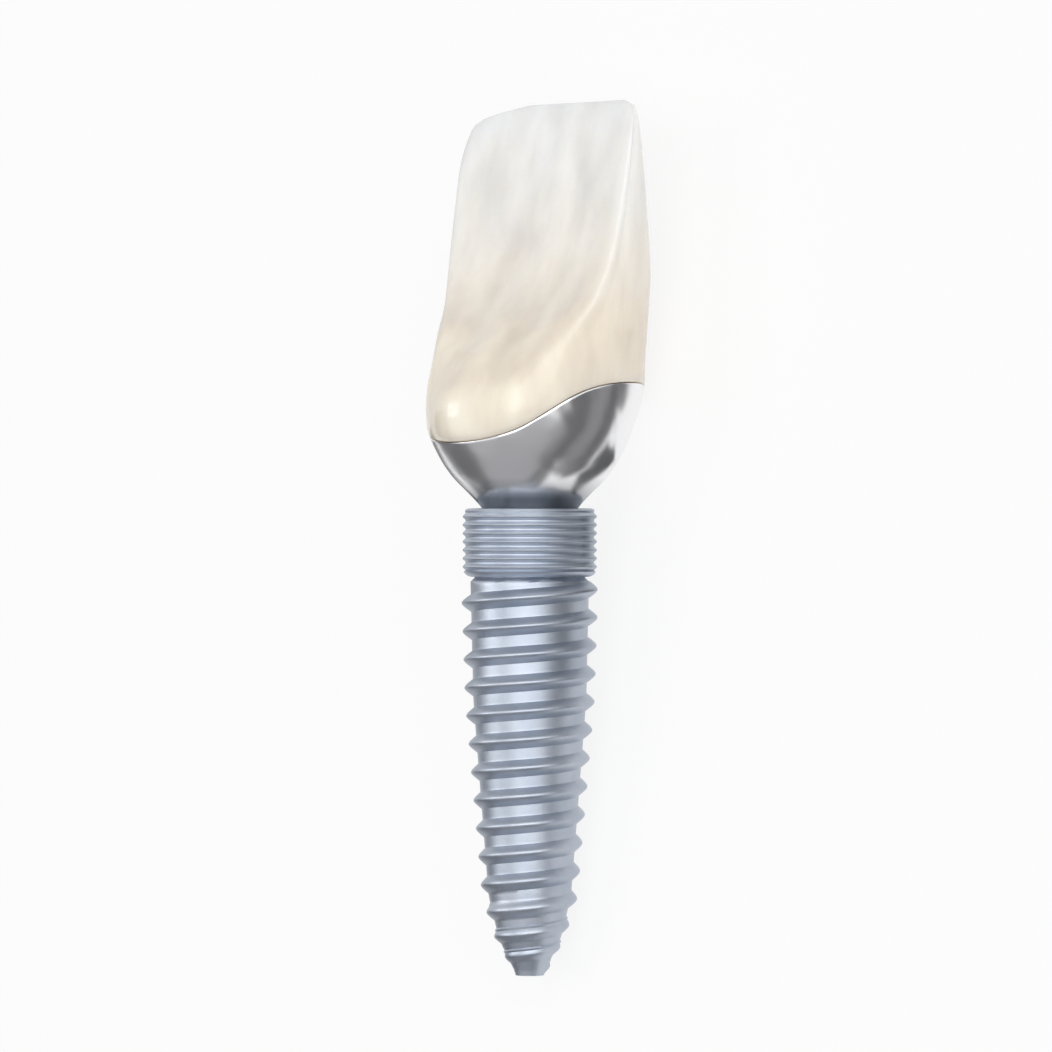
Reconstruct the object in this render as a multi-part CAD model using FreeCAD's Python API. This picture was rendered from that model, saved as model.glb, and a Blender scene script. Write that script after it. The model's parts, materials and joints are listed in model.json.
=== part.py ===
"""A single-tooth dental implant, laid on its labial side as it rests on a table.

A tapered titanium fixture with a ringed collar and a deep right-hand thread carries a polished
abutment. A screw inside clamps the two together, a soft plug covers the screw's head, and a
ceramic incisor crown is cemented over the abutment's stump.

The pieces are modelled upright on the implant's axis: z = 0 is the fixture's platform, the crown
stands above it, +x is mesial and +y is labial. The last step lays the assembly down, with the
crown's palatal side up and its biting edge towards +y. All sizes are in millimetres.
"""
import FreeCAD, Part
import math
import os
from collections import namedtuple
from FreeCAD import Vector

# Fixture: a collar with fine rings cut in it, then a nearly straight stretch, a taper and a two-step apex
fixture_length = 13.0
collar_length = 1.92
collar_radius = 1.875
collar_top_chamfer = 0.14
collar_foot_chamfer = 0.20
ring_count = 7
ring_groove_width = 0.09
ring_groove_depth = 0.065
body_top_radius = 1.655
straight_length = 3.4
straight_end_radius = 1.575
apex_length = 2.2
apex_top_radius = 1.15
apex_waist_length = 1.0
apex_waist_radius = 0.86
tip_radius = 0.37

# Outer thread: one start, right hand, with a pitch that shortens over the last turns
thread_pitch = 0.785
thread_tip_pitch = 0.52
thread_tip_turns = 2.6
thread_start_gap = 0.12
thread_end_gap = 0.44
thread_start_azimuth = 141.0
thread_height = 0.27
thread_taper_end_height = 0.19
thread_tip_height = 0.07
thread_run_in_turns = 0.25
points_per_turn = 7

# Connection between fixture and abutment: a steep cone, and a hexagon below it
cone_mouth_radius = 1.34
cone_half_angle = 5.5
cone_depth = 1.4
cone_clearance = 0.01
cone_root = 0.1
hex_across_flats = 2.05
hex_socket_length = 1.3
hex_end_gap = 0.2
hex_clearance = 0.02

# Abutment screw, its tapped hole in the fixture and its seat in the abutment
screw_thread_radius = 0.80
screw_thread_length = 3.1
screw_thread_gap = 0.1
screw_shank_radius = 0.62
screw_head_radius = 1.06
screw_head_height = 1.75
screw_seat_height = 0.36
screw_socket_across_flats = 1.25
screw_socket_depth = 1.1
screw_clearance = 0.03
screw_end_gap = 0.9
drill_point_half_angle = 59.0
channel_clearance = 0.05
plug_clearance = 0.01

# Stump of the abutment: a taper, cut back on a slope on its palatal side
stump_foot_height = 1.2
stump_foot_radius = 2.15
stump_top_height = 6.6
stump_top_radius = 1.66
stump_slope_angle = 50.0
stump_slope_height = 5.4
cement_gap = 0.04

# Margin, where ceramic meets metal: azimuth from mesial towards labial, and height
margin_line = [
    (20, 3.46), (50, 3.27), (90, 2.15), (150, 3.0), (215, 2.1), (262, 1.80), (305, 2.10), (345, 3.20),
]
margin_gap = 0.03

# Tooth form, from the platform to the biting edge. A level has the reach towards mesial and distal,
# the y of the contact areas, the labial reach, how square the labial side is, the place of the two
# palatal ridges as a share of the reach, the y of the mesial ridge and how much further palatal the
# distal one stands, and the y of the grooves beside them and of the middle lobe. It slopes up towards
# mesial by its tilt.
Level = namedtuple(
    "Level", "height tilt mesial distal contact labial squareness share ridge drop groove middle"
)
groove_share = 0.383


def round_level(height, radius):
    """A level that is a circle about the axis."""
    diagonal = math.sqrt(0.5)
    across = math.sqrt(1 - groove_share ** 2)
    return Level(
        height, 0.0, radius, radius, 0.0, radius, 2.0,
        diagonal, -diagonal * radius, 0.0, -across * radius, -radius,
    )


tooth_levels = [
    round_level(0.0, cone_mouth_radius),
    round_level(0.15, 1.45),
    round_level(0.45, 1.735),
    round_level(0.9, 2.17),
    round_level(1.5, 2.56),
    round_level(2.2, 2.85),
    Level(3.2, 0.0, 3.03, 2.74, 0.07, 3.03, 2.2, 0.74, -2.04, 0.0, -2.56, -2.78),
    Level(4.15, 0.0, 3.04, 2.60, 0.20, 3.03, 2.25, 0.80, -1.70, 0.05, -1.98, -2.16),
    Level(4.9, 0.0, 3.05, 2.60, 0.35, 2.97, 2.35, 0.87, -1.20, 0.15, -1.25, -1.38),
    Level(5.65, 0.0, 3.09, 2.68, 0.50, 2.88, 2.45, 0.94, -0.66, 0.17, -0.58, -0.66),
    Level(6.5, 0.0, 3.14, 2.92, 0.68, 2.73, 2.6, 0.96, -0.22, 0.17, -0.08, -0.16),
    Level(7.5, 0.0, 3.17, 3.09, 0.85, 2.51, 2.6, 0.97, 0.10, 0.14, 0.30, 0.21),
    Level(8.7, 0.0, 3.16, 3.18, 1.00, 2.21, 2.6, 0.975, 0.38, 0.12, 0.58, 0.51),
    Level(9.8, -0.1, 3.13, 3.22, 1.12, 1.88, 2.6, 0.975, 0.64, 0.12, 0.82, 0.77),
    Level(10.6, -0.3, 3.05, 3.15, 1.20, 1.65, 2.6, 0.97, 0.87, 0.07, 0.98, 0.95),
    Level(10.95, -0.4, 2.97, 2.92, 1.23, 1.52, 2.6, 0.97, 0.98, 0.03, 1.05, 1.03),
    Level(11.18, -0.5, 2.84, 2.15, 1.24, 1.43, 2.6, 0.96, 1.07, 0.01, 1.11, 1.10),
    Level(11.34, -0.5, 2.50, 1.20, 1.25, 1.36, 2.6, 0.95, 1.14, 0.0, 1.15, 1.15),
]

# Rest: how far the assembly rolls to its own balance when it lies on the crown's labial side
rest_roll = 6.0

# How far a cut runs past the faces that it opens
cut_overrun = 1.0

# Depths below the platform that several pieces share
hex_top_depth = cone_depth
hex_floor_depth = cone_depth + hex_socket_length
screw_thread_top_depth = hex_floor_depth + screw_thread_gap
screw_end_depth = screw_thread_top_depth + screw_thread_length
channel_radius = screw_head_radius + channel_clearance
screw_head_top = screw_seat_height + screw_head_height

# The body without its thread, as radius at a depth
body_outline = [
    (body_top_radius, collar_length),
    (straight_end_radius, collar_length + straight_length),
    (apex_top_radius, fixture_length - apex_length),
    (apex_waist_radius, fixture_length - apex_waist_length),
    (tip_radius, fixture_length),
]


def revolved(outline):
    """A solid of revolution about z from (radius, z) points that start and end on the axis."""
    points = [Vector(radius, 0, z) for radius, z in outline + outline[:1]]
    return Part.Face(Part.makePolygon(points)).revolve(Vector(0, 0, 0), Vector(0, 0, 1), 360)


def hexagon(across_flats, bottom, top):
    corner = across_flats / math.sqrt(3)
    corners = [
        Vector(corner * math.cos(math.radians(60 * i)), corner * math.sin(math.radians(60 * i)), bottom)
        for i in range(7)
    ]
    return Part.Face(Part.makePolygon(corners)).extrude(Vector(0, 0, top - bottom))


def smooth_edge(points, parameters, closed=False):
    """A smooth edge through the points, one at each parameter."""
    curve = Part.BSplineCurve()
    curve.interpolate(Points=points, PeriodicFlag=closed, Parameters=parameters)
    return curve.toShape()


def closed_solid(faces):
    """The solid inside faces that meet along their edges."""
    shell = Part.makeShell(faces)
    shell.sewShape()
    solid = Part.makeSolid(Part.Shell(shell.Faces))
    if solid.Volume < 0:
        solid.reverse()
    return solid


def body_radius(depth):
    """Radius of the threadless body at a depth, carried on straight above its top and below its tip."""
    for (radius, start), (next_radius, end) in zip(body_outline, body_outline[1:]):
        if depth <= end:
            break
    share = (depth - start) / (end - start)
    return radius + min(max(share, 0), 1) * (next_radius - radius)


def thread_turns():
    """Turns from the collar to the tip, and how many of them have the full pitch."""
    rise = fixture_length - thread_end_gap - collar_length - thread_start_gap
    shortened = (thread_pitch - thread_tip_pitch) * thread_tip_turns / 2
    turns = (rise + shortened) / thread_pitch
    return turns, turns - thread_tip_turns


def thread_crest(turn):
    """Depth and height of the thread's crest after a number of turns.

    It swells out of the collar, gets lower down the taper and fades over the shorter turns at the tip.
    """
    turns, full_turns = thread_turns()
    shorter = min(max(turn - full_turns, 0), thread_tip_turns)
    fade = shorter / thread_tip_turns
    depth = collar_length + thread_start_gap + thread_pitch * turn
    depth -= (thread_pitch - thread_tip_pitch) * (fade * shorter / 2 + max(turn - turns, 0))
    if fade > 0:
        height = thread_taper_end_height + fade * (thread_tip_height - thread_taper_end_height)
    else:
        height = thread_height + turn / full_turns * (thread_taper_end_height - thread_height)
    swell = min(1, turn / thread_run_in_turns, (turns - turn) / thread_run_in_turns)
    return depth, height * max(swell, 0)


def thread_line(first_turn, last_turn, on_crest):
    """The thread's crest, or its root half a pitch below, as one smooth edge for each turn."""
    points, parameters = [], []
    for i in range(first_turn * points_per_turn, last_turn * points_per_turn + 1):
        turn = i / points_per_turn
        depth, height = thread_crest(turn)
        if not on_crest:
            depth, height = (depth + thread_crest(turn + 1)[0]) / 2, 0.0
        radius = body_radius(depth) + height
        angle = math.radians(thread_start_azimuth - 360 * turn)
        points.append(Vector(radius * math.cos(angle), radius * math.sin(angle), -depth))
        parameters.append(turn)
    curve = Part.BSplineCurve()
    curve.interpolate(Points=points, Parameters=parameters)
    return [curve.toShape(turn, turn + 1) for turn in range(first_turn, last_turn)]


def thread_end(rim, corner):
    """Closes one end of the thread's surface: from its last turn inwards to the axis."""
    on_axis = [Vector(0, 0, vertex.Z) for vertex in rim.Vertexes]
    outer = [rim.Vertexes[0].Point, corner, rim.Vertexes[1].Point]
    step = Part.Face(Part.makePolygon([on_axis[0]] + outer + [on_axis[1], on_axis[0]]))
    return [Part.makeRuledSurface(Part.makeLine(on_axis[0], on_axis[1]), rim), step]


def make_threaded_body():
    """The body with its thread, from inside the collar to below the tip."""
    first_turn = -2
    last_turn = math.ceil(thread_turns()[0]) + 2
    crests = thread_line(first_turn, last_turn, True)
    roots = thread_line(first_turn, last_turn, False)
    faces = [Part.makeRuledSurface(crest, root, 1) for crest, root in zip(crests, roots)]
    faces += [Part.makeRuledSurface(root, crest, 1) for root, crest in zip(roots, crests[1:])]
    faces += thread_end(crests[0], roots[0].Vertexes[0].Point)
    faces += thread_end(roots[-1], crests[-1].Vertexes[1].Point)
    return closed_solid(faces)


def make_fixture():
    rings_end = collar_length - collar_foot_chamfer
    ring_pitch = (rings_end - collar_top_chamfer + ring_groove_width) / ring_count
    outline = [(0, 0), (collar_radius - collar_top_chamfer, 0), (collar_radius, -collar_top_chamfer)]
    for i in range(1, ring_count):
        groove_end = -collar_top_chamfer - i * ring_pitch
        outline.append((collar_radius, groove_end + ring_groove_width))
        outline.append((collar_radius - ring_groove_depth, groove_end + ring_groove_width / 2))
        outline.append((collar_radius, groove_end))
    outline.append((collar_radius, -rings_end))
    outline += [(collar_radius - collar_foot_chamfer, -collar_length), (0, -collar_length)]
    waste = Part.makeCylinder(collar_radius, fixture_length, Vector(0, 0, -2 * fixture_length))
    body = make_threaded_body().cut(waste).fuse(revolved(outline))

    cone_foot_radius = cone_mouth_radius - cone_depth * math.tan(math.radians(cone_half_angle))
    hole_radius = screw_thread_radius + screw_clearance
    hole_floor = -screw_end_depth - screw_end_gap
    drill_point = hole_radius / math.tan(math.radians(drill_point_half_angle))
    mouth = revolved([
        (0, 0), (cone_mouth_radius, 0), (cone_foot_radius, -cone_depth), (hole_radius, -cone_depth),
        (hole_radius, hole_floor), (0, hole_floor - drill_point),
    ])
    return body.cut([mouth, hexagon(hex_across_flats, -hex_floor_depth, -hex_top_depth)])


def level_outline(level):
    """The outline of the tooth form at a level: labial curve, distal side, palatal curve, mesial side."""
    def side_curve(start, end, outward):
        chord = math.hypot(end[0] - start[0], end[1] - start[1])
        swell = chord * math.tan(math.pi / 16) / 2
        middle = (
            (start[0] + end[0]) / 2 + outward * swell * abs(end[1] - start[1]) / chord,
            (start[1] + end[1]) / 2 - swell * abs(end[0] - start[0]) / chord,
        )
        return [start, middle, end]

    labial_curve = []
    for azimuth in (0, 25, 50, 90, 130, 155, 180):
        angle = math.radians(azimuth)
        reach = level.mesial if azimuth < 90 else level.distal
        side = 1 if azimuth < 90 else -1
        across = abs(math.cos(angle)) ** (2 / level.squareness)
        out = math.sin(angle) ** (2 / level.squareness)
        labial_curve.append((side * reach * across, level.contact + (level.labial - level.contact) * out))
    palatal_curve = [
        (-level.distal * level.share, level.ridge - level.drop),
        (-level.distal * groove_share, level.groove),
        (0, level.middle),
        (level.mesial * groove_share, level.groove),
        (level.mesial * level.share, level.ridge),
    ]
    distal_side = side_curve(labial_curve[-1], palatal_curve[0], -1)
    mesial_side = side_curve(palatal_curve[-1], labial_curve[0], 1)
    rise = math.tan(math.radians(level.tilt))
    edges = []
    for points, parameters in (
        (labial_curve, [0, 0.14, 0.28, 0.5, 0.72, 0.86, 1]),
        (distal_side, [0, 0.5, 1]),
        (palatal_curve, [0, 0.25, 0.5, 0.75, 1]),
        (mesial_side, [0, 0.5, 1]),
    ):
        edges.append(smooth_edge([Vector(x, y, level.height + rise * x) for x, y in points], parameters))
    return Part.Wire(edges)


def make_tooth_form():
    """The outside of abutment and crown together, as a stack of lofts between the levels."""
    return Part.makeLoft([level_outline(level) for level in tooth_levels], True, True)


def make_margin_bed(gap):
    """Everything under the margin, raised by a gap, with a well in the middle that the stump fills."""
    azimuths = [azimuth for azimuth, height in margin_line]
    heights = [height + gap for azimuth, height in margin_line]
    outward = [Vector(math.cos(math.radians(a)), math.sin(math.radians(a)), 0) for a in azimuths]
    parameters = [(azimuth - azimuths[0]) / 360 for azimuth in azimuths] + [1]
    rim_radius = cut_overrun + max(max(level.mesial, level.distal) for level in tooth_levels)
    well_radius = stump_foot_radius / 2
    well_floor = (stump_foot_height + min(heights)) / 2
    rims = []
    for radius, floor in ((rim_radius, -1), (rim_radius, None), (well_radius, None), (well_radius, well_floor)):
        points = [
            direction * radius + Vector(0, 0, height if floor is None else floor)
            for direction, height in zip(outward, heights)
        ]
        rims.append(smooth_edge(points, parameters, closed=True))
    faces = [Part.makeRuledSurface(rims[i], rims[i + 1]) for i in range(3)]
    return closed_solid(faces + [Part.Face(Part.Wire([rims[0]])), Part.Face(Part.Wire([rims[3]]))])


def make_stump(gap):
    """The stump that the crown sits on, grown by a gap on every side."""
    top = stump_top_height + gap
    taper = revolved([
        (0, stump_foot_height), (stump_foot_radius + gap, stump_foot_height),
        (stump_top_radius + gap, top), (0, top),
    ])
    size = 2 * stump_top_height
    block = Part.makeBox(size, size, size, Vector(-size / 2, -size / 2, 0))
    block.rotate(Vector(0, 0, 0), Vector(1, 0, 0), stump_slope_angle)
    lift = gap / math.cos(math.radians(stump_slope_angle))
    block.translate(Vector(0, 0, stump_slope_height + lift))
    return taper.cut(block)


def make_abutment(tooth_form):
    neck_radius = cone_mouth_radius - cone_clearance
    hex_top = -hex_top_depth + hex_clearance
    hex_floor = -hex_floor_depth + hex_end_gap
    cone_foot_radius = neck_radius + hex_top * math.tan(math.radians(cone_half_angle))
    cone = revolved([
        (0, cone_root), (neck_radius, cone_root), (neck_radius, 0), (cone_foot_radius, hex_top), (0, hex_top),
    ])
    hexagonal_end = hexagon(hex_across_flats - 2 * hex_clearance, hex_floor, hex_top)
    solid = tooth_form.common(make_margin_bed(0)).fuse([make_stump(0), cone, hexagonal_end])

    bore_radius = screw_thread_radius + screw_clearance
    way_foot = hex_floor - cut_overrun
    way_top = stump_top_height + cut_overrun
    screw_way = revolved([
        (0, way_foot), (bore_radius, way_foot),
        (bore_radius, screw_seat_height - (channel_radius - bore_radius)),
        (channel_radius, screw_seat_height), (channel_radius, way_top), (0, way_top),
    ])
    return solid.cut(screw_way)


def make_abutment_screw():
    thread_top = -screw_thread_top_depth
    head_foot = screw_seat_height - (screw_head_radius - screw_shank_radius)
    solid = revolved([
        (0, -screw_end_depth), (screw_thread_radius, -screw_end_depth), (screw_thread_radius, thread_top),
        (screw_shank_radius, thread_top), (screw_shank_radius, head_foot),
        (screw_head_radius, screw_seat_height), (screw_head_radius, screw_head_top), (0, screw_head_top),
    ])
    socket_floor = screw_head_top - screw_socket_depth
    return solid.cut(hexagon(screw_socket_across_flats, socket_floor, screw_head_top))


def make_plug():
    """Fills the screw channel from the screw's head to the face of the stump."""
    foot = screw_head_top + screw_clearance
    rod = Part.makeCylinder(channel_radius - plug_clearance, stump_top_height - foot, Vector(0, 0, foot))
    return rod.common(make_stump(0))


def make_crown(tooth_form):
    return tooth_form.cut([make_margin_bed(margin_gap), make_stump(cement_gap)])


def rest_tilt():
    """Slope of the implant's axis at rest, on the crown's labial side and on a turn of the thread."""
    slopes = []
    first_turn = (thread_start_azimuth - 90 + rest_roll) / 360
    crests = [thread_crest(first_turn + i) for i in range(int(thread_turns()[0]))]
    for level in tooth_levels[1:]:
        outline = level_outline(level)
        outline.rotate(Vector(0, 0, 0), Vector(0, 0, 1), rest_roll)
        reach = outline.optimalBoundingBox(False).YMax
        slopes.append(min(
            (reach - body_radius(depth) - height) / (level.height + depth) for depth, height in crests
        ))
    return math.degrees(math.atan(max(slopes)))


def lay_down(pieces):
    """Lays the assembly on its labial side, with the middle of its footprint over the origin."""
    box = FreeCAD.BoundBox()
    for shape in pieces.values():
        shape.rotate(Vector(0, 0, 0), Vector(0, 0, 1), rest_roll)
        shape.rotate(Vector(0, 0, 0), Vector(1, 0, 0), rest_tilt() - 90)
        box.add(shape.optimalBoundingBox(False))
    for shape in pieces.values():
        shape.translate(Vector(-box.Center.x, -box.Center.y, -box.ZMin))


def main():
    tooth_form = make_tooth_form()
    pieces = {
        "implant_fixture": make_fixture(),
        "abutment": make_abutment(tooth_form),
        "abutment_screw": make_abutment_screw(),
        "screw_channel_plug": make_plug(),
        "crown": make_crown(tooth_form),
    }
    lay_down(pieces)
    os.makedirs("parts", exist_ok=True)
    for name, shape in pieces.items():
        shape.exportStep("parts/" + name + ".step")


if __name__ == "__main__":
    main()
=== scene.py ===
"""A single-tooth dental implant lying on the labial side of its crown, on a plain white table.

Sizes inside the sections are in millimetres on the upright implant: z = 0 is the fixture's platform,
the crown stands above it, +x is mesial and +y is labial. Every piece is then laid down with `lying`.
"""
import bmesh
import bpy
import json
import math
from mathutils import Matrix, Vector


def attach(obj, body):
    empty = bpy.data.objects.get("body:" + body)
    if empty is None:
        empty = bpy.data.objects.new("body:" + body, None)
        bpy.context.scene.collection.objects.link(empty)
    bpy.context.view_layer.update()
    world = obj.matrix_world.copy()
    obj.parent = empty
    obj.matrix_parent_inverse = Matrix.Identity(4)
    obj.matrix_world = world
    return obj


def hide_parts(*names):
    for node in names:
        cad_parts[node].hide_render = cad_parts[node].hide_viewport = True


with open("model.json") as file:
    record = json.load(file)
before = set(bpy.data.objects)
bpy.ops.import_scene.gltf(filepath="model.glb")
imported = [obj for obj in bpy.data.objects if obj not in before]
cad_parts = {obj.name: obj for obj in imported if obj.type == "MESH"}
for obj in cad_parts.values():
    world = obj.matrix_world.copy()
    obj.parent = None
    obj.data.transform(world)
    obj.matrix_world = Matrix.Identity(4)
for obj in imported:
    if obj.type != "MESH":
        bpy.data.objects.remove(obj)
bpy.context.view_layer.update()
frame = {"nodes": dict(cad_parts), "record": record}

# How the implant lies: on the labial bulge of the crown and on one crest of the thread. The record's
# collar mount gives the implant's axis and a point on it, and the piece has rolled onto its own balance.
seat = next(mount for mount in frame["record"]["mounts"] if mount["name"] == "bone_seat_collar")
toward_tip = Vector(seat["axis"])
collar_middle = 0.93
roll_at_rest = 6
lying = (
    Matrix.Translation(Vector(seat["pos_m"]) - toward_tip * collar_middle / 1000)
    @ Matrix.Rotation(math.asin(-toward_tip.z) - math.pi / 2, 4, "X")
    @ Matrix.Rotation(math.radians(roll_at_rest), 4, "Z")
    @ Matrix.Scale(0.001, 4)
)

# Implant fixture: turned and threaded from titanium, then blasted and etched to a matte blue grey.
# The collar has rounded rings, and one right-hand thread runs down the tapered body to the tip.
fixture_length = 13.0
collar_length = 1.92
body_outline = [
    (1.655, collar_length), (1.575, 5.32), (1.15, 10.8), (0.86, 12.0), (0.37, fixture_length),
]
neck_groove_depth = 0.12
neck_groove_length = 0.12
thread_start = collar_length + neck_groove_length
thread_pitch = 0.785
tip_pitch = 0.52
thread_turns = 13.84
turns_with_end = 14.33
tip_turns = 2.6
ridge_half_width = 0.305
crest_rounding = 0.35
crest_height = 0.267
taper_end_height = 0.19
tip_height = 0.075
second_ridge_place = 0.2
second_ridge_half_width = 0.075
second_ridge_height = 0.05
second_ridge_turns = 2.4


def body_radius(depth):
    """Radius of the body under its thread, with its corners eased and a fine groove under the collar."""
    total = -3 * neck_groove_depth * min(1, max(0, (thread_start - depth) / neck_groove_length))
    for shift in (-0.15, 0, 0.15):
        for (radius, start), (next_radius, end) in zip(body_outline, body_outline[1:]):
            if depth + shift <= end:
                break
        share = min(max((depth + shift - start) / (end - start), 0), 1)
        total += radius + share * (next_radius - radius)
    return total / 3


def thread_depth(turn):
    """Depth of the crest: the pitch shortens over the last turns."""
    shorter = min(max(turn - thread_turns + tip_turns, 0), tip_turns)
    lost = shorter ** 2 / tip_turns / 2 + max(turn - thread_turns, 0)
    return thread_start + thread_pitch * turn - (thread_pitch - tip_pitch) * lost


def thread_height(turn):
    """Height of the ridge: it swells out of the collar, sinks down the taper and stops bluntly."""
    full_turns = thread_turns - tip_turns
    if turn < full_turns:
        height = crest_height - (crest_height - taper_end_height) * turn / full_turns
    else:
        lost = (taper_end_height - tip_height) * min((turn - full_turns) / tip_turns, 1)
        height = taper_end_height - lost
    return height * min(1, max(0, turn / 0.3), max(0, (turns_with_end - turn) / 0.05))


def ridge_profile(share):
    """The ridge across one pitch: straight flanks, a rounded crest at 0.5."""
    out = abs(share - 0.5) / ridge_half_width
    full = math.hypot(1, crest_rounding)
    return max(0, full - math.hypot(out, crest_rounding)) / (full - crest_rounding)


def second_ridge(share, turn):
    """The thin ridge that runs just above the crest over the last turns."""
    out = abs(share - second_ridge_place) / second_ridge_half_width
    growth = min(1, max(0, (turn - thread_turns + second_ridge_turns) / 0.5))
    return second_ridge_height * growth * max(0, 1 - out) * (turn < turns_with_end - 0.1)


thread_azimuth = math.radians(141)  # where the ridge leaves the collar, from mesial towards labial
steps_per_turn = 72
surface_turns = 17
body = bmesh.new()
profile_shares = [0, 0.09, 0.125, 0.165, 0.2, 0.235, 0.28, 0.33, 0.38, 0.42, 0.45, 0.475, 0.5,
                  0.525, 0.55, 0.58, 0.62, 0.68, 0.74, 0.78, 0.812, 0.9, 1]
chain = [
    body.verts.new((math.cos(thread_azimuth), math.sin(thread_azimuth), (1 - share) * thread_pitch))
    for share in profile_shares
]
links = [body.edges.new(pair) for pair in zip(chain, chain[1:])]
bmesh.ops.spin(
    body, geom=chain + links, cent=(0, 0, 0), axis=(0, 0, 1), angle=-2 * math.pi,
    dvec=(0, 0, -thread_pitch / steps_per_turn), steps=steps_per_turn,
)
first_turn = body.verts[:] + body.edges[:] + body.faces[:]
for turn in range(1, surface_turns):
    copy = bmesh.ops.duplicate(body, geom=first_turn)["geom"]
    moved = [item for item in copy if isinstance(item, bmesh.types.BMVert)]
    bmesh.ops.translate(body, vec=(0, 0, -thread_pitch * turn), verts=moved)
bmesh.ops.remove_doubles(body, verts=body.verts, dist=0.001)
for vert in body.verts:
    down = -vert.co.z / thread_pitch
    azimuth = math.atan2(vert.co.y, vert.co.x)
    across = (down - (thread_azimuth - azimuth) / (2 * math.pi)) % 1
    turn = down - across
    depth = thread_depth(down - 0.5)
    radius = body_radius(depth) + thread_height(turn) * ridge_profile(across)
    radius += second_ridge(across, turn)
    vert.co = (radius * math.cos(azimuth), radius * math.sin(azimuth), -depth)
inside_collar = 0.1
for level, keep_up in ((inside_collar - collar_length, False), (-fixture_length, True)):
    cut = bmesh.ops.bisect_plane(
        body, geom=body.verts[:] + body.edges[:] + body.faces[:], plane_co=(0, 0, level),
        plane_no=(0, 0, 1), clear_outer=not keep_up, clear_inner=keep_up,
    )
    rim = [item for item in cut["geom_cut"] if isinstance(item, bmesh.types.BMEdge)]
    bmesh.ops.contextual_create(body, geom=rim)
bmesh.ops.recalc_face_normals(body, faces=body.faces)


def turned(outline, segments):
    """A body of revolution about z from (radius, z) points that start and end on the axis."""
    work = bmesh.new()
    points = [work.verts.new((radius, 0, z)) for radius, z in outline]
    edges = [work.edges.new(pair) for pair in zip(points, points[1:])]
    bmesh.ops.spin(
        work, geom=points + edges, cent=(0, 0, 0), axis=(0, 0, 1), angle=2 * math.pi, steps=segments,
        use_merge=True,
    )
    bmesh.ops.remove_doubles(work, verts=work.verts, dist=0.0005)
    bmesh.ops.recalc_face_normals(work, faces=work.faces)
    return work


ring_count = 7
ring_pitch = 0.2335
first_ring = 0.225
ring_radius = 1.872
valley_depth = 0.085
collar_outline = [(0, 0), (1.70, 0), (1.745, -0.006), (1.785, -0.028), (1.805, -0.065)]
for ring in range(ring_count):
    for step in (-0.44, -0.36, -0.28, -0.2, -0.1, 0, 0.1, 0.2, 0.28, 0.36, 0.44):
        dip = valley_depth * (1 - math.cos(2 * math.pi * step)) / 2
        collar_outline.append((ring_radius - dip, -first_ring - (ring + step) * ring_pitch))
collar_outline += [
    (1.845, -1.76), (1.82, -1.80), (1.785, -1.84), (1.735, -1.875), (1.68, -1.898), (1.62, -1.905),
]
collar = turned(collar_outline + [(0, -1.905)], 144)

# Inside the fixture: a steep cone, a hexagon that stops the abutment turning, and the screw's hole.
cone_depth = 1.4
bore_radius = 0.83
bore_depth = 6.8
drill_point = 0.5
hexagon_corner_radius = 1.1836
hexagon_bottom = -2.7
hexagon_height = 1.5
cavity = turned([
    (0, 0.3), (1.369, 0.3), (1.205, -cone_depth), (bore_radius, -cone_depth), (bore_radius, -bore_depth),
    (0, -bore_depth - drill_point),
], 96)
hexagon_socket = bmesh.new()
bmesh.ops.create_cone(
    hexagon_socket, cap_ends=True, segments=6, radius1=hexagon_corner_radius,
    radius2=hexagon_corner_radius, depth=hexagon_height,
    matrix=Matrix.Translation((0, 0, hexagon_bottom + hexagon_height / 2))
    @ Matrix.Rotation(math.radians(30), 4, "Z"),
)


def carved(whole, tools):
    """Joins or cuts closed meshes. tools holds (mesh, "UNION" or "DIFFERENCE")."""
    shapes = []
    for work in [whole] + [tool for tool, operation in tools]:
        mesh = bpy.data.meshes.new("tool")
        work.to_mesh(mesh)
        work.free()
        shapes.append(bpy.data.objects.new("tool", mesh))
        bpy.context.scene.collection.objects.link(shapes[-1])
    for shape, (tool, operation) in zip(shapes[1:], tools):
        boolean = shapes[0].modifiers.new(operation, "BOOLEAN")
        boolean.operation = operation
        boolean.object = shape
        boolean.solver = "EXACT"
    result = bmesh.new()
    result.from_object(shapes[0], bpy.context.evaluated_depsgraph_get())
    for shape in shapes:
        mesh = shape.data
        bpy.data.objects.remove(shape)
        bpy.data.meshes.remove(mesh)
    return result


def adder(tree):
    """A helper that adds a shader node to a tree. An input is a value or another node's output."""
    def add(kind, inputs=(), **settings):
        node = tree.nodes.new("ShaderNode" + kind)
        for key, value in settings.items():
            setattr(node, key, value)
        for socket, value in dict(inputs).items():
            if isinstance(value, bpy.types.NodeSocket):
                tree.links.new(value, node.inputs[socket])
            else:
                node.inputs[socket].default_value = value
        return node

    return add


def new_finish(name):
    """A material, its shader, and helpers that add a node and feed an output to the shader."""
    finish = bpy.data.materials.new(name)
    finish.use_nodes = True
    tree = finish.node_tree
    shader = tree.nodes["Principled BSDF"]

    def feed(output, socket):
        tree.links.new(output, shader.inputs[socket])

    return finish, shader, adder(tree), feed


def upright_place(add):
    """Places in millimetres on the upright implant, for a pattern that follows its axis."""
    return add("Mapping", {
        "Vector": add("TexCoord").outputs["Object"],
        "Location": -(lying.to_3x3().inverted() @ lying.translation),
        "Rotation": (lying.to_3x3() * 1000).inverted().to_euler("XYZ"),
        "Scale": (1000, 1000, 1000),
    }).outputs["Vector"]


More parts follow.
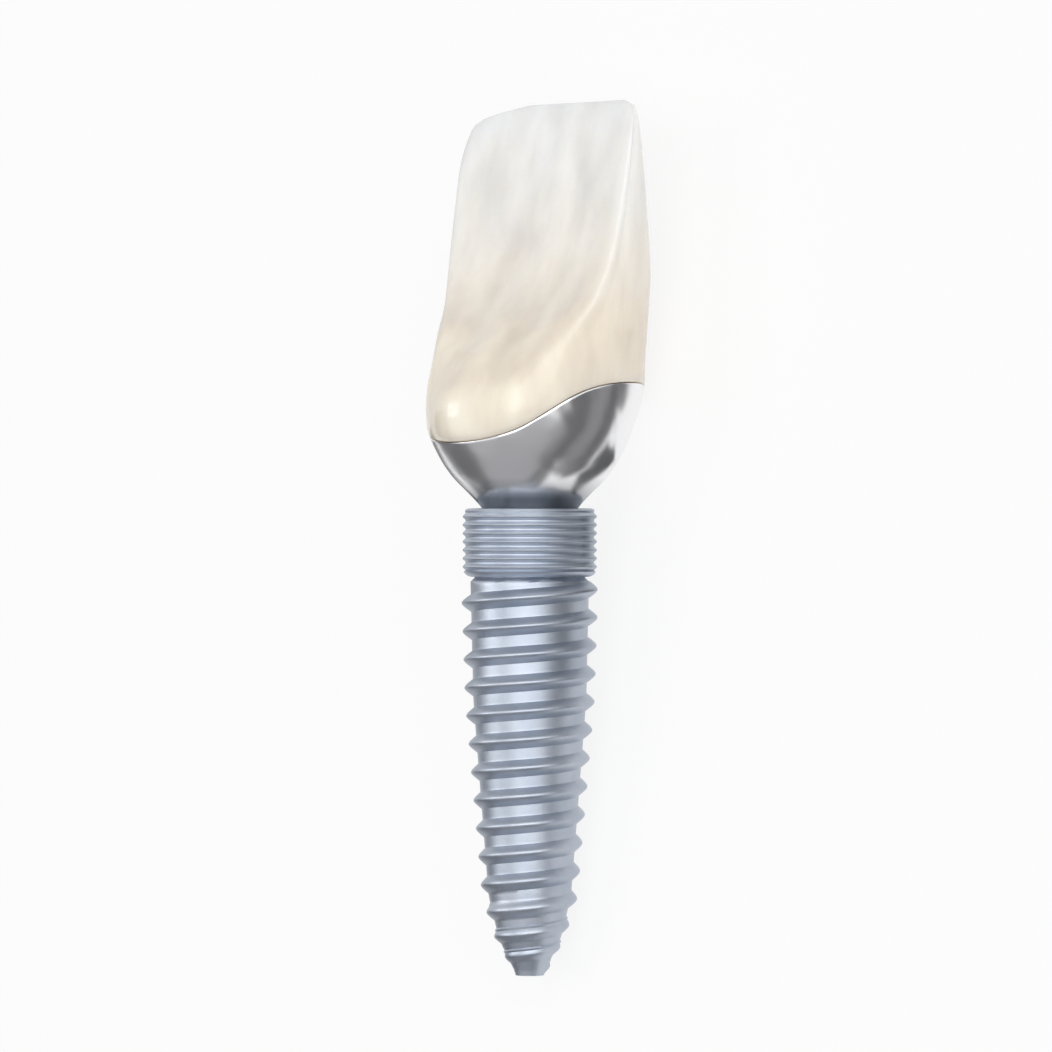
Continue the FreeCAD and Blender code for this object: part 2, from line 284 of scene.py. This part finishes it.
blasted, shader, add, feed = new_finish("blasted_titanium")
shader.inputs["Metallic"].default_value = 1.0
place = add("TexCoord").outputs["Object"]
clouds = add("TexNoise", {"Vector": place, "Scale": 900.0, "Detail": 4.0, "Roughness": 0.6})
tone = add("ValToRGB", {"Fac": clouds.outputs["Fac"]})
tone.color_ramp.elements[0].position = 0.3
tone.color_ramp.elements[0].color = (0.41, 0.455, 0.53, 1)
tone.color_ramp.elements[1].position = 0.7
tone.color_ramp.elements[1].color = (0.50, 0.54, 0.605, 1)
# The collar is only machined, so it is a little brighter than the blasted body.
along = add("SeparateXYZ", {"Vector": upright_place(add)})
brighter_collar = add("MapRange", {
    "Value": along.outputs["Z"], "From Min": -1.95, "From Max": -1.85, "To Min": 1.0, "To Max": 1.10,
})
toned = add("VectorMath", {
    0: tone.outputs["Color"], "Scale": brighter_collar.outputs["Result"],
}, operation="SCALE")
feed(toned.outputs["Vector"], "Base Color")
grain = add("TexNoise", {"Vector": place, "Scale": 26000.0, "Detail": 3.0, "Roughness": 0.7})
rough = add("MapRange", {"Value": grain.outputs["Fac"], "To Min": 0.38, "To Max": 0.52})
feed(rough.outputs["Result"], "Roughness")
pits = add("Bump", {"Height": grain.outputs["Fac"], "Strength": 0.35, "Distance": 0.000012})
feed(pits.outputs["Normal"], "Normal")


def add_piece(work, name, node, finish, sharp_angle):
    """Lays a finished mesh down and puts it in the place of its plain solid."""
    bmesh.ops.recalc_face_normals(work, faces=work.faces)
    mesh = bpy.data.meshes.new(name)
    work.to_mesh(mesh)
    work.free()
    mesh.transform(lying)
    mesh.shade_smooth()
    mesh.set_sharp_from_angle(angle=math.radians(sharp_angle))
    mesh.materials.append(finish)
    piece = bpy.data.objects.new(name, mesh)
    bpy.context.scene.collection.objects.link(piece)
    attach(piece, "root")
    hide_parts(node)


fixture = carved(body, [(collar, "UNION"), (cavity, "DIFFERENCE"), (hexagon_socket, "DIFFERENCE")])
add_piece(fixture, "fixture_body", "implant_fixture", blasted, 38)

# Tooth form: the outside of abutment and crown together, which the workshop shapes as one form. Each
# level is a cross-section: labial curve, distal side, palatal side with its two ridges, mesial side.
diagonal = math.sqrt(0.5)
groove_share = 0.383
across_groove = math.sqrt(1 - groove_share ** 2)


def round_level(height, radius):
    """A level that is a circle about the axis."""
    return (
        height, 0.0, radius, radius, 0.0, radius, 2.0,
        diagonal, -diagonal * radius, 0.0, -across_groove * radius, -radius,
    )


# height, tilt, mesial and distal reach, contact, labial reach, squareness, ridge share, ridge, drop,
# groove, middle
form_levels = [
    round_level(0.0, 1.34),
    round_level(0.15, 1.45),
    round_level(0.45, 1.735),
    round_level(0.9, 2.17),
    round_level(1.5, 2.56),
    round_level(2.2, 2.85),
    (3.2, 0.0, 3.03, 2.74, 0.07, 3.03, 2.2, 0.74, -2.04, 0.0, -2.56, -2.78),
    (4.15, 0.0, 3.04, 2.60, 0.20, 3.03, 2.25, 0.80, -1.70, 0.05, -1.98, -2.16),
    (4.9, 0.0, 3.05, 2.60, 0.35, 2.97, 2.35, 0.87, -1.20, 0.15, -1.25, -1.38),
    (5.65, 0.0, 3.09, 2.68, 0.50, 2.88, 2.45, 0.94, -0.66, 0.17, -0.58, -0.66),
    (6.5, 0.0, 3.14, 2.92, 0.68, 2.73, 2.6, 0.96, -0.22, 0.17, -0.08, -0.16),
    (7.5, 0.0, 3.17, 3.09, 0.85, 2.51, 2.6, 0.97, 0.10, 0.14, 0.30, 0.21),
    (8.7, 0.0, 3.16, 3.18, 1.00, 2.21, 2.6, 0.975, 0.38, 0.12, 0.58, 0.51),
    (9.8, -0.1, 3.13, 3.22, 1.12, 1.88, 2.6, 0.975, 0.64, 0.12, 0.82, 0.77),
    (10.6, -0.3, 3.05, 3.15, 1.20, 1.65, 2.6, 0.97, 0.87, 0.07, 0.98, 0.95),
    (10.95, -0.4, 2.97, 2.92, 1.23, 1.52, 2.6, 0.97, 0.98, 0.03, 1.05, 1.03),
    (11.18, -0.5, 2.84, 2.15, 1.24, 1.43, 2.6, 0.96, 1.07, 0.01, 1.11, 1.10),
    (11.34, -0.5, 2.50, 1.20, 1.25, 1.36, 2.6, 0.95, 1.14, 0.0, 1.15, 1.15),
]
columns = 128


def smooth_between(before, start, end, after, share):
    """A point on a smooth curve from start to end. Each argument is (parameter, point)."""
    (u0, p0), (u1, p1), (u2, p2), (u3, p3) = before, start, end, after
    span = u2 - u1
    leave = (p2 - p0) * (span / (u2 - u0))
    arrive = (p3 - p1) * (span / (u3 - u1))
    s2, s3 = share ** 2, share ** 3
    return (
        p1 * (2 * s3 - 3 * s2 + 1) + leave * (s3 - 2 * s2 + share)
        + p2 * (3 * s2 - 2 * s3) + arrive * (s3 - s2)
    )


def level_outline(level):
    """The closed outline of a level as one point for each column."""
    mesial, distal, contact, labial, squareness, share, ridge, drop, groove, middle = level[2:]
    keys = []
    for azimuth in (0, 25, 50, 90, 130, 155, 180):
        reach = mesial if azimuth < 90 else -distal
        across = abs(math.cos(math.radians(azimuth))) ** (2 / squareness)
        out = math.sin(math.radians(azimuth)) ** (2 / squareness)
        keys.append((azimuth, Vector((reach * across, contact + (labial - contact) * out))))
    palatal = [
        (225, Vector((-distal * share, ridge - drop))),
        (247.5, Vector((-distal * groove_share, groove))),
        (270, Vector((0, middle))),
        (292.5, Vector((mesial * groove_share, groove))),
        (315, Vector((mesial * share, ridge))),
    ]

    def side(start, end, outward):
        """The point that rounds a side between its contact area and the palatal ridge."""
        chord = end - start
        swell = chord.length * math.tan(math.pi / 16) / 2
        bulge = Vector((outward * abs(chord.y), -abs(chord.x))) * (swell / chord.length)
        return (start + end) / 2 + bulge

    keys.append((202.5, side(keys[-1][1], palatal[0][1], -1)))
    keys += palatal
    keys.append((337.5, side(palatal[-1][1], keys[0][1], 1)))
    count = len(keys)
    ring = [(angle - 360, point) for angle, point in keys[-2:]] + keys
    ring += [(angle + 360, point) for angle, point in keys[:2]]
    points = []
    for column in range(columns):
        angle = 360 * column / columns
        at = next(i for i in range(2, count + 2) if ring[i + 1][0] > angle)
        start, end = ring[at], ring[at + 1]
        points.append(smooth_between(
            ring[at - 1], start, end, ring[at + 2], (angle - start[0]) / (end[0] - start[0])
        ))
    return points


form_outlines = [(level[0], level_outline(level)) for level in form_levels]


def form_point(column, height):
    """A point on the tooth form, in one column of its mesh at a height before the level's tilt."""
    last = len(form_outlines) - 1
    at = max(i for i in range(last) if form_outlines[i][0] <= height or i == 0)
    rows = [form_outlines[min(max(i, 0), last)] for i in (at - 1, at, at + 1, at + 2)]
    knots = [(row_height, row[column]) for row_height, row in rows]
    if at == 0:
        knots[0] = (knots[1][0] - 0.15, knots[1][1])
    if at == last - 1:
        knots[3] = (knots[2][0] + 0.2, knots[2][1])
    share = (height - knots[1][0]) / (knots[2][0] - knots[1][0])
    flat = smooth_between(*knots, share)
    tilt = form_levels[at][1] + share * (form_levels[at + 1][1] - form_levels[at][1])
    return Vector((flat.x, flat.y, height + math.tan(math.radians(tilt)) * flat.x))


# Margin: the scalloped line where ceramic meets metal, low in front and behind and high at the sides.
# Each point is an azimuth from mesial towards labial, and a height.
margin_line = [
    (20, 3.46), (50, 3.27), (90, 2.15), (150, 3.0), (215, 2.1), (262, 1.80), (305, 2.10), (345, 3.20),
]


def margin_height(point):
    """Height of the margin at a point's azimuth."""
    azimuth = math.degrees(math.atan2(point.y, point.x)) % 360
    if azimuth < margin_line[0][0]:
        azimuth += 360
    ring = [(angle - 360, height) for angle, height in margin_line[-1:]] + margin_line
    ring += [(angle + 360, height) for angle, height in margin_line[:2]]
    at = next(i for i in range(1, len(ring) - 2) if ring[i + 1][0] >= azimuth)
    share = (azimuth - ring[at][0]) / (ring[at + 1][0] - ring[at][0])
    return smooth_between(ring[at - 1], ring[at], ring[at + 1], ring[at + 2], share)


def margin_at(column):
    """Height of the margin on one column of the tooth form, found by trying again from the last."""
    height = 2.5
    for attempt in range(6):
        height = margin_height(form_point(column, height))
    return height


margin_heights = [margin_at(column) for column in range(columns)]


# Abutment: turned from titanium and polished. A goblet-shaped flare rises from a short neck to the
# margin. Its stump goes up into the crown, its cone and hexagon down into the fixture.
key_across_flats = 2.01
key_end = -2.5
flare_foot = 0.02
cone_end = -1.38
passage_radius = 0.83
channel_radius = 1.11
screw_seat_height = 0.36
stump_foot_height = 1.2
stump_foot_radius = 2.15
stump_top_height = 6.6
stump_top_radius = 1.66
slope_height = 5.4
slope_angle = math.radians(50)
cement_gap = 0.04
margin_gap = 0.03


def first_ring_of(work, points):
    """A closed ring of vertices at the points."""
    circle = bmesh.ops.create_circle(work, segments=len(points), radius=1)["verts"]
    for vert, point in zip(circle, points):
        vert.co = point
    return circle


def next_ring(work, ring, points):
    """Extrudes a ring of edges and moves each new vertex to its point."""
    edges = [work.edges.get((ring[i - 1], ring[i])) for i in range(len(ring))]
    made = set(bmesh.ops.extrude_edge_only(work, edges=edges)["geom"])
    grown = []
    for vert, point in zip(ring, points):
        followers = [edge.other_vert(vert) for edge in vert.link_edges]
        grown.append(next(follower for follower in followers if follower in made))
        grown[-1].co = point
    return grown


def stump_radius(height):
    """Radius of the stump's taper at a height."""
    taper = (stump_foot_radius - stump_top_radius) / (stump_top_height - stump_foot_height)
    return stump_foot_radius - taper * (height - stump_foot_height)


def on_circle(radius, height):
    """A point for each column on a circle about the axis."""
    angles = [2 * math.pi * column / columns for column in range(columns)]
    return [Vector((radius * math.cos(angle), radius * math.sin(angle), height)) for angle in angles]


def on_hexagon(across_flats, height):
    """A point for each column on a hexagon about the axis, with a corner towards mesial."""
    points = on_circle(1, height)
    for point in points:
        azimuth = math.degrees(math.atan2(point.y, point.x)) % 60
        point.xy *= across_flats / 2 / math.cos(math.radians(azimuth - 30))
    return points


def under_slope(points, gap):
    """Drops the points that stand above the stump's palatal slope onto it."""
    foot = slope_height + gap / math.cos(slope_angle)
    for point in points:
        point.z = min(point.z, foot + point.y * math.tan(slope_angle))
    return points


def land_points(inset, gap):
    """The ledge at the margin: from the outer edge (inset 0) to the stump's foot (inset 1)."""
    points = []
    for column in range(columns):
        outer = form_point(column, margin_heights[column])
        flat = Vector((outer.x, outer.y))
        height = margin_heights[column] + gap
        inner = flat.normalized() * (stump_radius(height) + (cement_gap if gap else 0))
        flat = flat.lerp(inner, inset)
        points.append(Vector((flat.x, flat.y, height)))
    return points


def wall_points(foot_ring, share, gap):
    """A ring on the stump (gap 0) or on the crown's inside, at a share of the way up from its foot."""
    points = []
    for vert, margin in zip(foot_ring, margin_heights):
        foot = margin + (margin_gap if gap else 0)
        height = foot + share * (stump_top_height + gap - foot)
        outward = Vector((vert.co.x, vert.co.y, 0)).normalized()
        points.append(outward * (stump_radius(height) + gap) + Vector((0, 0, height)))
    return under_slope(points, gap)


abutment = bmesh.new()
ring = start_ring = first_ring_of(abutment, on_circle(passage_radius, key_end))
for points in (
    on_hexagon(key_across_flats, key_end), on_hexagon(key_across_flats, cone_end),
    on_circle(1.197, cone_end), on_circle(1.33, 0.0),
    [form_point(column, flare_foot) for column in range(columns)],
):
    ring = next_ring(abutment, ring, points)
for share in (0.03, 0.06, 0.1, 0.14, 0.18, 0.23, 0.28, 0.34, 0.4, 0.46, 0.52, 0.58, 0.64, 0.7, 0.76,
              0.82, 0.88, 0.93, 0.97, 0.99):
    ring = next_ring(abutment, ring, [
        form_point(column, flare_foot + share * (margin_heights[column] - flare_foot))
        for column in range(columns)
    ])
for inset in (0.012, 0.5, 1.0):
    ring = next_ring(abutment, ring, land_points(inset, 0))
for share in (0.33, 0.66, 1.0):
    ring = next_ring(abutment, ring, wall_points(ring, share, 0))
for points in (
    under_slope(on_circle(channel_radius, stump_top_height), 0),
    on_circle(channel_radius, screw_seat_height),
    on_circle(passage_radius, screw_seat_height + passage_radius - channel_radius),
):
    ring = next_ring(abutment, ring, points)
bmesh.ops.bridge_loops(abutment, edges=[
    abutment.edges.get((loop[i - 1], loop[i])) for loop in (ring, start_ring) for i in range(columns)
])

polished, shader, add, feed = new_finish("polished_titanium")
shader.inputs["Metallic"].default_value = 1.0
place = add("TexCoord").outputs["Object"]
along = add("SeparateXYZ", {"Vector": upright_place(add)})
# Painted shade and painted reflection: the base colour darkens from the flare down to the neck, as if
# the metal there reflects the dark gap over the collar.
tone = add("ValToRGB", {"Fac": along.outputs["Z"]})
tone.color_ramp.elements[0].position = 0.25
tone.color_ramp.elements[0].color = (0.30, 0.315, 0.335, 1)
tone.color_ramp.elements[1].position = 0.85
tone.color_ramp.elements[1].color = (0.92, 0.92, 0.93, 1)
feed(tone.outputs["Color"], "Base Color")
smudges = add("TexNoise", {"Vector": place, "Scale": 750.0, "Detail": 1.0, "Distortion": 0.6})
waves = add("Bump", {"Height": smudges.outputs["Fac"], "Strength": 0.5, "Distance": 0.00013})
feed(waves.outputs["Normal"], "Normal")
rough = add("MapRange", {"Value": smudges.outputs["Fac"], "To Min": 0.20, "To Max": 0.30})
feed(rough.outputs["Result"], "Roughness")
add_piece(abutment, "abutment_flare", "abutment", polished, 40)

# Crown: glazed glass ceramic, ivory at the neck and greyer and clearer towards the biting edge. It is
# hollow inside, and cemented over the stump.
crown_top = 11.34
crown = bmesh.new()
ring = inner_start = first_ring_of(crown, land_points(1.0, margin_gap))
for inset in (0.5, 0.03):
    ring = next_ring(crown, ring, land_points(inset, margin_gap))
cingulum_lobes = [(264, 2.70), (306, 2.90)]
lobe_half_angle = 15
lobe_half_height = 0.75
lobe_swell = 0.13


def carved_point(column, height):
    """A point of the crown's outside, with the two low lobes that swell over the palatal margin."""
    point = form_point(column, height)
    azimuth = math.degrees(math.atan2(point.y, point.x)) % 360
    for lobe_azimuth, lobe_height in cingulum_lobes:
        aside = (azimuth - lobe_azimuth) / lobe_half_angle
        off = math.hypot(aside, (height - lobe_height) / lobe_half_height)
        point.xy *= 1 + lobe_swell / point.xy.length * math.exp(-off * off)
    return point


crown_rows = 64
feet = [margin + margin_gap for margin in margin_heights]
for row in range(crown_rows):
    share = 0.004 + (0.996 - 0.004) * row / (crown_rows - 1)
    ring = next_ring(crown, ring, [
        carved_point(column, foot + share * (crown_top - foot)) for column, foot in enumerate(feet)
    ])
edge_middle = 1.245
for shrink, height in ((0.25, crown_top - 0.012), (0.6, crown_top)):
    points = [form_point(column, height) for column in range(columns)]
    for point in points:
        point.y += (edge_middle - point.y) * shrink
        point.x *= 1 - 0.02 * shrink
    ring = next_ring(crown, ring, points)
top_ring = ring
ring = inner_start
for share in (0.33, 0.66, 1.0):
    ring = next_ring(crown, ring, wall_points(inner_start, share, cement_gap))
for loop in (top_ring, ring):
    rim = [crown.edges.get((loop[i - 1], loop[i])) for i in range(columns)]
    bmesh.ops.contextual_create(crown, geom=rim)

ceramic, shader, add, feed = new_finish("tooth_ceramic")
shader.inputs["Roughness"].default_value = 0.16
shader.inputs["IOR"].default_value = 1.52
shader.inputs["Subsurface Weight"].default_value = 0.35
shader.inputs["Subsurface Radius"].default_value = (0.0011, 0.0009, 0.0007)
shader.inputs["Subsurface Scale"].default_value = 1.0
upright = upright_place(add)
along = add("SeparateXYZ", {"Vector": upright})
clouds = add("TexNoise", {"Vector": upright, "Scale": 0.6, "Detail": 2.0})
shifted = add("Math", {
    0: clouds.outputs["Fac"], 1: 2.2, 2: along.outputs["Z"],
}, operation="MULTIPLY_ADD")
shade = add("ValToRGB", {"Fac": add("MapRange", {
    "Value": shifted.outputs["Value"], "From Min": 2.6, "From Max": 12.4,
}).outputs["Result"]})
shade.color_ramp.elements[0].color = (0.935, 0.83, 0.69, 1)
shade.color_ramp.elements[1].color = (0.88, 0.885, 0.885, 1)
for position, color in ((0.35, (0.90, 0.805, 0.685, 1)), (0.65, (0.895, 0.87, 0.825, 1))):
    shade.color_ramp.elements.new(position).color = color
stretched = add("Mapping", {"Vector": upright, "Scale": (1.1, 1.1, 0.35)})
streaks = add("TexNoise", {
    "Vector": stretched.outputs["Vector"], "Scale": 1.0, "Detail": 3.0, "Roughness": 0.45,
})
speckle = add("TexNoise", {"Vector": upright, "Scale": 22.0, "Detail": 2.0})
milky = add("MapRange", {
    "Value": streaks.outputs["Fac"], "From Min": 0.3, "From Max": 0.7, "To Min": 0.88, "To Max": 1.06,
})
dots = add("MapRange", {
    "Value": speckle.outputs["Fac"], "From Min": 0.3, "From Max": 0.7, "To Min": 0.985, "To Max": 1.015,
})
tone_and_painted_highlight = add("Math", {
    0: milky.outputs["Result"], 1: dots.outputs["Result"],
}, operation="MULTIPLY")
# Painted highlight: the base colour is up to 12 per cent lighter round two spots on the palatal lobes,
# in place of the shine of the glaze there.
lobe_distances = [
    add("VectorMath", {0: upright, 1: centre}, operation="DISTANCE").outputs["Value"]
    for centre in ((-0.12, -3.0, 2.6), (1.5, -2.45, 2.85))
]
to_lobe = add("Math", {0: lobe_distances[0], 1: lobe_distances[1]}, operation="MINIMUM")
painted_lobe_highlight = add("MapRange", {
    "Value": to_lobe.outputs[0], "From Min": 0.25, "From Max": 1.0, "To Min": 1.12, "To Max": 1.0,
}, interpolation_type="SMOOTHSTEP")
tone_and_painted_highlight = add("Math", {
    0: tone_and_painted_highlight.outputs[0], 1: painted_lobe_highlight.outputs["Result"],
}, operation="MULTIPLY")
toned = add("VectorMath", {
    0: shade.outputs["Color"], "Scale": tone_and_painted_highlight.outputs[0],
}, operation="SCALE")
feed(toned.outputs["Vector"], "Base Color")
add_piece(crown, "ceramic_crown", "crown", ceramic, 60)

# Abutment screw and channel plug: both are inside. The screw is plain turned titanium with a hexagon
# socket, and the plug over its head is a pressed roll of white plastic tape.
turned_screw, shader, add, feed = new_finish("screw_titanium")
shader.inputs["Metallic"].default_value = 1.0
shader.inputs["Base Color"].default_value = (0.55, 0.54, 0.53, 1)
place = add("TexCoord").outputs["Object"]
marks = add("TexNoise", {"Vector": place, "Scale": 5000.0, "Detail": 2.0})
rough = add("MapRange", {"Value": marks.outputs["Fac"], "To Min": 0.25, "To Max": 0.4})
feed(rough.outputs["Result"], "Roughness")
frame["nodes"]["abutment_screw"].data.materials.clear()
frame["nodes"]["abutment_screw"].data.materials.append(turned_screw)
tape, shader, add, feed = new_finish("plug_tape")
shader.inputs["Roughness"].default_value = 0.7
place = add("TexCoord").outputs["Object"]
layers = add("TexNoise", {"Vector": place, "Scale": 2500.0, "Detail": 3.0})
tint = add("ValToRGB", {"Fac": layers.outputs["Fac"]})
tint.color_ramp.elements[0].color = (0.80, 0.79, 0.75, 1)
tint.color_ramp.elements[1].color = (0.90, 0.89, 0.86, 1)
feed(tint.outputs["Color"], "Base Color")
frame["nodes"]["screw_channel_plug"].data.materials.clear()
frame["nodes"]["screw_channel_plug"].data.materials.append(tape)

# Table: a plain white sheet under the implant, far wider than the view. What the camera and the
# polished metal see of it is mostly white by itself, so the implant's shadow on it stays faint.
table = bmesh.new()
bmesh.ops.create_grid(table, x_segments=4, y_segments=4, size=0.6)
table_mesh = bpy.data.meshes.new("table")
table.to_mesh(table_mesh)
table.free()
table_top = bpy.data.objects.new("table", table_mesh)
bpy.context.scene.collection.objects.link(table_top)
paper, shader, add, feed = new_finish("white_paper")
shader.inputs["Base Color"].default_value = (0.93, 0.93, 0.93, 1)
shader.inputs["Roughness"].default_value = 0.9
shader.inputs["Specular IOR Level"].default_value = 0.1


def seen_directly(add):
    """1 for what the camera, a reflection or clear glass shows, and 0 for light on other things."""
    path = add("LightPath")
    seen = path.outputs["Is Camera Ray"]
    for kind in ("Is Glossy Ray", "Is Transmission Ray"):
        seen = add("Math", {0: seen, 1: path.outputs[kind]}, operation="MAXIMUM").outputs[0]
    return seen


white_share = 0.85
white = add("Emission", {"Strength": 1.0})
self_white = add("Math", {0: seen_directly(add), 1: white_share}, operation="MULTIPLY")
sheet = add("MixShader", {
    "Fac": self_white.outputs[0], 1: shader.outputs["BSDF"], 2: white.outputs["Emission"],
})
paper_output = paper.node_tree.nodes["Material Output"]
paper.node_tree.links.new(sheet.outputs["Shader"], paper_output.inputs["Surface"])
table_mesh.materials.append(paper)

# Light: an even white room, and two large soft lamps, one beside the camera and one overhead.
world = bpy.data.worlds.new("white_room")
bpy.context.scene.world = world
world.use_nodes = True
room = adder(world.node_tree)
seen = room("Background", {"Strength": 1.0})
lit = room("Background", {"Strength": 0.42})
choice = room("MixShader", {"Fac": seen_directly(room), 1: lit.outputs[0], 2: seen.outputs[0]})
world_output = world.node_tree.nodes["World Output"]
world.node_tree.links.new(choice.outputs["Shader"], world_output.inputs["Surface"])

upright_turn = lying.to_3x3() * 1000
toward_camera = upright_turn @ Vector((diagonal, -diagonal, 0))
image_right = upright_turn @ Vector((diagonal, diagonal, 0))
image_up = upright_turn @ Vector((0, 0, 1))


def facing_implant(thing, right, up, near):
    """Puts a lamp or card in its place, in metres as the camera sees it, and turns it to the implant."""
    stand = bpy.data.objects.new(thing.name, thing)
    stand.location = image_right * right + image_up * up + toward_camera * near
    stand.rotation_euler = stand.location.to_track_quat("Z", "Y").to_euler()
    bpy.context.scene.collection.objects.link(stand)
    return stand


for name, right, up, near, size, watts in (
    ("camera_side_softbox", -0.05, 0.08, 0.35, 0.50, 1.14),
    ("overhead_softbox", -0.33, 0.04, 0.04, 0.16, 0.23),
):
    lamp = bpy.data.lights.new(name, "AREA")
    lamp.size = size
    lamp.energy = watts
    facing_implant(lamp, right, up, near)


# Cards: painted reflections. They are grey and dark cards that glow in one even grey, that only
# reflections show, and that give the metal its contrast. Four stand round the implant and seven lie on
# the table beside it and beyond its tip.
def add_card(name, width, height, grey):
    """A flat card's mesh, in metres, that shines in one even grey as a painted reflection."""
    card = bmesh.new()
    bmesh.ops.create_grid(card, x_segments=1, y_segments=1, size=0.5)
    bmesh.ops.scale(card, vec=(width, height, 1), verts=card.verts)
    card_mesh = bpy.data.meshes.new(name)
    card.to_mesh(card_mesh)
    card.free()
    cloth, shader, add, feed = new_finish(name)
    shader.inputs["Base Color"].default_value = (0, 0, 0, 1)
    shader.inputs["Specular IOR Level"].default_value = 0.0
    shader.inputs["Emission Color"].default_value = (grey, grey, grey * 1.04, 1)
    shader.inputs["Emission Strength"].default_value = 1.0
    card_mesh.materials.append(cloth)
    return card_mesh


cards = [
    facing_implant(add_card("tip_end_card", 0.45, 0.30, 0.36), -0.04, -0.20, 0.10),
    facing_implant(add_card("far_side_card", 0.30, 0.36, 0.13), -0.16, -0.12, -0.16),
    facing_implant(add_card("near_side_card", 0.14, 0.16, 0.14), 0.12, -0.15, 0.08),
    facing_implant(add_card("crown_end_card", 0.45, 0.30, 0.25), -0.04, 0.28, 0.04),
]
# These painted reflections lie flat where the metal would otherwise reflect the table close round the
# implant.
for name, left, right, near_end, far_end, grey in (
    ("under_edge_card", 0.0016, 0.0032, 0.0020, -0.0012, 0.10),
    ("side_card_near", 0.0035, 0.0050, 0.006, -0.0045, 0.12),
    ("side_card_middle", 0.0050, 0.0080, 0.006, -0.0080, 0.26),
    ("side_card_far", 0.0080, 0.0800, 0.006, -0.0145, 0.12),
    ("side_card_left", -0.0300, -0.0035, 0.002, -0.0015, 0.10),
    ("tip_end_sheet", -0.1000, 0.0040, -0.0145, -0.19, 0.33),
    ("tip_end_dark_sheet", 0.0040, 0.1000, -0.0145, -0.19, 0.10),
):
    sheet = bpy.data.objects.new(name, add_card(name, right - left, near_end - far_end, grey))
    sheet.location = ((left + right) / 2, (near_end + far_end) / 2, 0.00005)
    bpy.context.scene.collection.objects.link(sheet)
    cards.append(sheet)
for card in cards:
    card.visible_camera = card.visible_diffuse = card.visible_shadow = False
    card.visible_transmission = card.visible_volume_scatter = False

# Camera: level with the platform on the upright implant, midway between its palatal and mesial sides,
# with a long lens, and rolled so that the crown is up. The picture is 1052 pixels high.
pixel = 0.02786 / 1000
picture_height = 1052 * pixel
camera_data = bpy.data.cameras.new("camera")
camera_data.lens = 200
camera_data.sensor_width = 36
camera_data.clip_start = 0.001
camera_data.clip_end = 10
camera = bpy.data.objects.new("camera", camera_data)
target = lying @ Vector((0, 0, 0)) + image_right * -0.000106 + image_up * -0.00049
distance = picture_height * camera_data.lens / camera_data.sensor_width
camera_turn = Matrix((image_right, image_up, toward_camera)).transposed().to_4x4()
camera.matrix_world = Matrix.Translation(target + toward_camera * distance) @ camera_turn
bpy.context.scene.collection.objects.link(camera)
bpy.context.scene.camera = camera

bpy.context.scene.view_settings.view_transform = "Standard"
